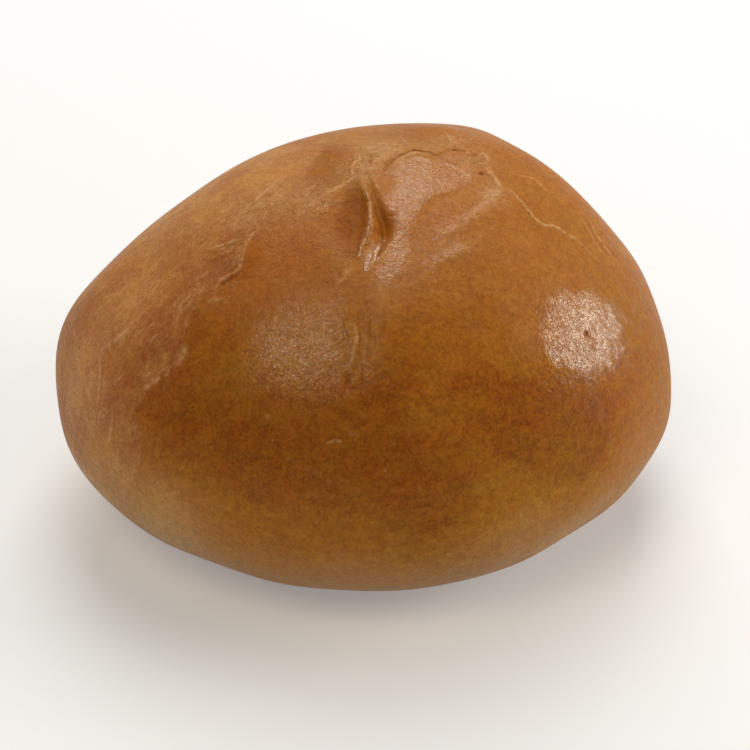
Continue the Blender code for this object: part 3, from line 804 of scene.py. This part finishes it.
class Shader:
    """A material's nodes, added by short calls: each returns an output socket."""

    def __init__(self, name):
        self.material = bpy.data.materials.new(name)
        self.material.use_nodes = True
        self.tree = self.material.node_tree
        self.principled = self.tree.nodes["Principled BSDF"]

    def settle(self, settings):
        for name, value in settings.items():
            self.principled.inputs[name].default_value = value

    def node(self, kind, **settings):
        made = self.tree.nodes.new(kind)
        for name, value in settings.items():
            setattr(made, name, value)
        return made

    def plug(self, socket, value):
        if isinstance(value, bpy.types.NodeSocket):
            self.tree.links.new(value, socket)
        else:
            socket.default_value = value

    def place(self):
        return self.node("ShaderNodeTexCoord").outputs["Object"]

    def parts(self, vector):
        """The vector's three parts."""
        made = self.node("ShaderNodeSeparateXYZ")
        self.plug(made.inputs[0], vector)
        return made.outputs

    def whole(self, x, y, z):
        made = self.node("ShaderNodeCombineXYZ")
        for socket, value in zip(made.inputs, (x, y, z)):
            self.plug(socket, value)
        return made.outputs[0]

    def drawn_out(self, vector, way, times):
        """The vector squeezed along a way, so that a texture is drawn out along it."""
        made = self.node("ShaderNodeMapping", vector_type="TEXTURE")
        self.plug(made.inputs["Vector"], vector)
        made.inputs["Rotation"].default_value = Vector(way).to_track_quat("X", "Z").to_euler()
        made.inputs["Scale"].default_value = (times, 1.0, 1.0)
        return made.outputs["Vector"]

    def texture(self, kind, vector, size_mm, **settings):
        made = self.node(kind, **settings)
        self.plug(made.inputs["Vector"], vector)
        made.inputs["Scale"].default_value = 1.0 / (size_mm * MM)
        return made

    def bent(self, vector, size_mm, amount_mm):
        """The vector pushed about by a slow noise."""
        made = self.texture("ShaderNodeTexNoise", vector, size_mm)
        made.inputs["Detail"].default_value = 1.0
        centred = self.node("ShaderNodeVectorMath", operation="SUBTRACT")
        self.plug(centred.inputs[0], made.outputs["Color"])
        centred.inputs[1].default_value = (0.5, 0.5, 0.5)
        moved = self.node("ShaderNodeVectorMath", operation="MULTIPLY_ADD")
        self.plug(moved.inputs[0], centred.outputs[0])
        moved.inputs[1].default_value = [2.0 * amount_mm * MM] * 3
        self.plug(moved.inputs[2], vector)
        return moved.outputs[0]

    def noise(self, vector, size_mm, detail=3.0, rough=0.55):
        made = self.texture("ShaderNodeTexNoise", vector, size_mm)
        made.inputs["Detail"].default_value = detail
        made.inputs["Roughness"].default_value = rough
        return made.outputs["Fac"]

    def cells(self, vector, size_mm, feature="F1"):
        return self.texture("ShaderNodeTexVoronoi", vector, size_mm, feature=feature)

    def attribute(self, name):
        return self.node("ShaderNodeAttribute", attribute_name=name).outputs["Fac"]

    def math(self, kind, a, b=0.0, c=0.0):
        made = self.node("ShaderNodeMath", operation=kind)
        for socket, value in zip(made.inputs, (a, b, c)):
            self.plug(socket, value)
        return made.outputs[0]

    def times(self, a, b):
        return self.math("MULTIPLY", a, b)

    def between(self, value, low, high, to_low=0.0, to_high=1.0):
        """A smooth step from to_low to to_high as the value goes from low to high."""
        made = self.node("ShaderNodeMapRange", interpolation_type="SMOOTHSTEP")
        for socket, given in zip(made.inputs, (value, low, high, to_low, to_high)):
            self.plug(socket, given)
        return made.outputs[0]

    def mix(self, share, a, b, kind="MIX"):
        made = self.node("ShaderNodeMix", data_type="RGBA", blend_type=kind)
        self.plug(made.inputs[0], share)
        self.plug(made.inputs[6], a)
        self.plug(made.inputs[7], b)
        return made.outputs[2]

    def swing(self, texture, amount, middle=0.0):
        """A texture spread over this amount below and above a middle."""
        return self.between(texture, 0.3, 0.7, middle - amount, middle + amount)

    def swayed(self, value, texture, amount):
        """The value, moved up and down by a texture whose own middle is a half."""
        return self.math("MULTIPLY_ADD", self.math("SUBTRACT", texture, 0.5), amount, value)

    def marked(self, colour, marks, cover, paint):
        """The colour, covered by a paint as far as cover says where the marks are 1."""
        return self.mix(self.times(marks, cover), colour, paint)

    def dots(self, vector, size_mm, channel, picked_above, core, edge):
        """Round dots in the cells whose random value is above a limit, fading from core to edge."""
        cells = self.cells(vector, size_mm)
        chosen = self.node("ShaderNodeSeparateColor")
        self.plug(chosen.inputs[0], cells.outputs["Color"])
        picked = self.between(chosen.outputs[channel], picked_above, picked_above + 0.02)
        return self.times(picked, self.between(cells.outputs["Distance"], core, edge, 1.0, 0.0))

    def bump(self, height, depth_mm, normal=None):
        made = self.node("ShaderNodeBump")
        self.plug(made.inputs["Height"], height)
        made.inputs["Distance"].default_value = depth_mm * MM
        if normal is not None:
            self.plug(made.inputs["Normal"], normal)
        return made.outputs["Normal"]


def speckle(s, place, wavy, mottle, grain, level, dry):
    """What multiplies the crust's colour: grains and dust, and blotches that are redder or yellower."""
    curds = s.noise(place, 1.1, detail=2.0, rough=0.5)
    shade = s.math("ADD", s.times(grain, 0.38), s.times(curds, 0.3))
    shade = s.between(s.math("MULTIPLY_ADD", mottle, 0.32, shade), 0.34, 0.66, -0.26, 0.26)
    shade = s.math("MULTIPLY_ADD", shade, s.between(level, 0.2, 1.0, 0.6, 1.0), 1.0)
    dust = s.swing(s.noise(place, 0.22, detail=1.0), 0.12)
    shade = s.math("ADD", shade, s.times(dust, s.between(dry, 0.0, 1.0, 0.6, 1.0)))
    blotches = s.swing(s.noise(wavy, 2.8), 0.1)
    blotches = s.times(blotches, s.between(level, 0.3, 0.9, 0.4, 1.0))
    tinge = s.math("ADD", s.swing(s.noise(place, 0.6, detail=2.0), 0.05, 1.0), blotches)
    tinge = s.math("MULTIPLY_ADD", s.math("SUBTRACT", shade, 1.0), 0.35, tinge)
    tinge = s.math("MULTIPLY_ADD", s.attribute("redness"), -0.12, tinge)
    rest = s.times(shade, tinge)
    return s.whole(shade, rest, rest)


def baked_and_shaded_colour(s, place, wavy, mottle, grain, dry):
    """The crust's colour from how far it baked and from painted shade in the crease, with its speckle, and
    the lighter colours of its dry side.
    """
    level = s.swayed(s.attribute("bake_and_shade"), s.noise(place, 14.0), 0.5)
    level = s.swayed(level, mottle, 0.36)
    colour = s.mix(s.between(level, 0.0, 0.35), PALE, TAN)
    colour = s.mix(s.between(level, 0.3, 0.65), colour, BROWN)
    colour = s.mix(s.between(level, 0.65, 1.05), colour, DEEP)
    lit = s.between(level, -0.3, 0.9, 1.22, 0.8)
    left = s.mix(s.between(s.noise(place, 6.0), 0.42, 0.6), PINK, GOLD)
    left = s.mix(1.0, left, s.whole(lit, lit, lit), "MULTIPLY")
    colour = s.marked(colour, dry, DRY_SIDE_COVER, left)
    return s.mix(1.0, colour, speckle(s, place, wavy, mottle, grain, level, dry), "MULTIPLY")


def dried_marks(s, place, dry, folds, colour):
    """The colour with the flecks, cracks, flakes and fine folds of dry and crumpled skin, and the pale crests
    of wrinkles, partly a painted highlight.
    """
    flecks = s.noise(s.drawn_out(s.bent(place, 5.0, 1.0), LEFT_GRAIN, 4.0), 0.36)
    flecks = s.between(flecks, 0.54, 0.68)
    crackle = s.cells(s.drawn_out(s.bent(place, 2.0, 0.5), LEFT_GRAIN, 2.5), 1.5, "DISTANCE_TO_EDGE")
    crackle = s.between(crackle.outputs["Distance"], 0.02, 0.08, 1.0, 0.0)
    worn = s.between(s.noise(place, 4.0, detail=2.0), 0.45, 0.65)
    flaky = s.math("MAXIMUM", s.times(worn, dry), s.attribute("crumple"))
    dried_and_highlight = s.times(s.math("MAXIMUM", flecks, s.times(crackle, 0.4)), flaky)
    broken = s.between(s.noise(place, 0.9, rough=0.7), 0.34, 0.54)
    # The wrinkles' pale crests: dried glaze, partly a painted highlight
    dried_and_highlight = s.math("MAXIMUM", dried_and_highlight, s.times(s.attribute("pale"), broken))
    colour = s.marked(colour, dried_and_highlight, FLECK_COVER, FLECK_AND_HIGHLIGHT)
    flakes = s.times(s.attribute("crumple"), s.between(s.noise(place, 1.3), 0.4, 0.6))
    colour = s.marked(colour, flakes, FLAKE_COVER, FLAKE)
    return s.marked(colour, folds, FOLD_COVER, FLECK_AND_HIGHLIGHT)


def pores_and_groove_shade(s, place, colour):
    colour = s.marked(colour, s.dots(place, 2.4, 0, 0.8, 0.05, 0.14), PORE_COVER, BURNT_AND_SHADE)
    colour = s.marked(colour, s.dots(place, 1.7, 1, 0.88, 0.06, 0.16), SPECK_COVER, FLECK_AND_HIGHLIGHT)
    # Painted shade: grooves and pits darken with their depth
    return s.mix(s.between(s.attribute("groove"), 0.0, 1.2, 0.0, GROOVE_SHADE_COVER), colour, BURNT_AND_SHADE)


def near_the_foot(s, up, colour):
    """The colour, greener and paler towards the foot."""
    start, end = (level * MM for level in FOOT_TINT_FADES)
    low = s.between(up, start, end, 1.0, 0.0)
    colour = s.mix(low, colour, s.mix(1.0, colour, OLIVE, "MULTIPLY"))
    return s.marked(colour, low, RIM_COVER, RIM)


def fine_relief(s, place, mottle, grain, folds):
    """The bumps that are too fine for the mesh."""
    peel = s.times(s.noise(place, 0.72, rough=0.7), s.between(s.attribute("glaze"), 0.2, 0.9))
    streaks = s.noise(s.drawn_out(place, RIGHT_GRAIN, 4.0), 0.34, detail=2.0)
    relief = s.bump(mottle, MOTTLE_RELIEF)
    relief = s.bump(grain, GRAIN_RELIEF, relief)
    relief = s.bump(peel, PEEL_RELIEF, relief)
    relief = s.bump(streaks, STREAK_RELIEF, relief)
    return s.bump(folds, FOLD_RELIEF, relief)


def glaze_coat(s, place, across, glazed):
    """How thick the glaze is: thin on the dry side, smeared on the right, and broken into dots and clots."""
    coat = s.times(s.between(glazed, 0.0, 1.0, 0.4, 1.0), s.attribute("glaze"))
    smears = s.noise(s.drawn_out(s.bent(place, 4.0, 0.8), RIGHT_GRAIN, 3.5), 1.3, rough=0.6)
    smears = s.math("MULTIPLY_ADD", s.attribute("glaze"), 0.12, smears)
    start, end = (place_across * MM for place_across in SMEARED_FROM)
    smeared = s.between(across, start, end)
    smears = s.math("MULTIPLY_ADD", s.between(smears, 0.45, 0.7, -0.75, 0.15), smeared, 1.0)
    dots = s.between(s.noise(place, 0.34, detail=1.0), 0.32, 0.62, 0.4, 1.15)
    clots = s.noise(s.drawn_out(place, BELLY_GRAIN, 1.5), 0.85, detail=2.0)
    clots = s.between(clots, 0.35, 0.65, 0.66, 1.22)
    return s.times(s.times(s.times(coat, smears), dots), clots)


def crust_material():
    s = Shader("crust")
    place = s.place()
    across, _, up = s.parts(place)
    wavy = s.drawn_out(s.bent(place, 5.0, 1.2), BELLY_GRAIN, 1.8)
    mottle = s.noise(wavy, 2.2, rough=0.6)
    grain = s.noise(place, 0.48, detail=2.0, rough=0.5)
    ragged = s.noise(place, 1.6, detail=2.0, rough=0.65)
    glazed = s.between(s.swayed(s.attribute("shore"), ragged, 1.2), 0.42, 0.58)
    dry = s.math("SUBTRACT", 1.0, glazed)
    folds = s.noise(s.drawn_out(s.bent(place, 1.6, 0.5), LEFT_GRAIN, 1.8), 1.25, detail=2.0, rough=0.5)
    folds = s.math("ABSOLUTE", s.math("SUBTRACT", folds, 0.5))
    folds = s.times(s.between(folds, 0.01, 0.05, 1.0, 0.0), s.attribute("crumple"))

    colour = baked_and_shaded_colour(s, place, wavy, mottle, grain, dry)
    colour = dried_marks(s, place, dry, folds, colour)
    colour = pores_and_groove_shade(s, place, colour)
    relief = fine_relief(s, place, mottle, grain, folds)
    s.plug(s.principled.inputs["Base Color"], near_the_foot(s, up, colour))
    s.plug(s.principled.inputs["Normal"], relief)
    s.plug(s.principled.inputs["Coat Normal"], relief)
    s.plug(s.principled.inputs["Roughness"], s.between(mottle, 0.3, 0.7, 0.48, 0.6))
    s.plug(s.principled.inputs["Coat Weight"], glaze_coat(s, place, across, glazed))
    s.settle(CRUST_SETTINGS)
    return s.material


def floor():
    bpy.ops.mesh.primitive_plane_add(size=FLOOR_WIDTH * MM, location=(0.0, 0.0, 0.0))
    plane = bpy.context.object
    plane.name = "floor"
    s = Shader("floor")
    s.settle(FLOOR_SETTINGS)
    plane.data.materials.append(s.material)


def camera(shift):
    """The eye that looks square at the wrinkles' plane, moved with the crust."""
    eye, _, _ = sight()
    data = bpy.data.cameras.new("camera")
    data.lens = LENS
    data.clip_start = NEAREST_SEEN * MM
    cam = bpy.data.objects.new("camera", data)
    bpy.context.scene.collection.objects.link(cam)
    cam.location = eye * MM + shift
    cam.rotation_euler = (math.radians(90.0 - LEAN), 0.0, 0.0)
    bpy.context.scene.camera = cam


def lights():
    for name, (azimuth, elevation, distance, width, height, power, colour) in LAMPS.items():
        data = bpy.data.lights.new(name, "AREA")
        data.shape = "RECTANGLE"
        data.size, data.size_y, data.energy = width, height, power
        data.color = colour
        lamp = bpy.data.objects.new(name, data)
        bpy.context.scene.collection.objects.link(lamp)
        away = Vector(direction(azimuth, elevation))
        lamp.location = away * distance
        lamp.rotation_euler = away.to_track_quat("Z", "Y").to_euler()
    world = bpy.data.worlds.new("world")
    bpy.context.scene.world = world
    world.use_nodes = True
    background = world.node_tree.nodes["Background"]
    background.inputs["Color"].default_value = WORLD_COLOUR
    background.inputs["Strength"].default_value = WORLD_STRENGTH
    bpy.context.scene.view_settings.view_transform = "Standard"


crust, offset = crust_piece("bun")
crust.data.materials.append(crust_material())
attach(crust, "root")
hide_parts("bun")
floor()
camera(offset)
lights()
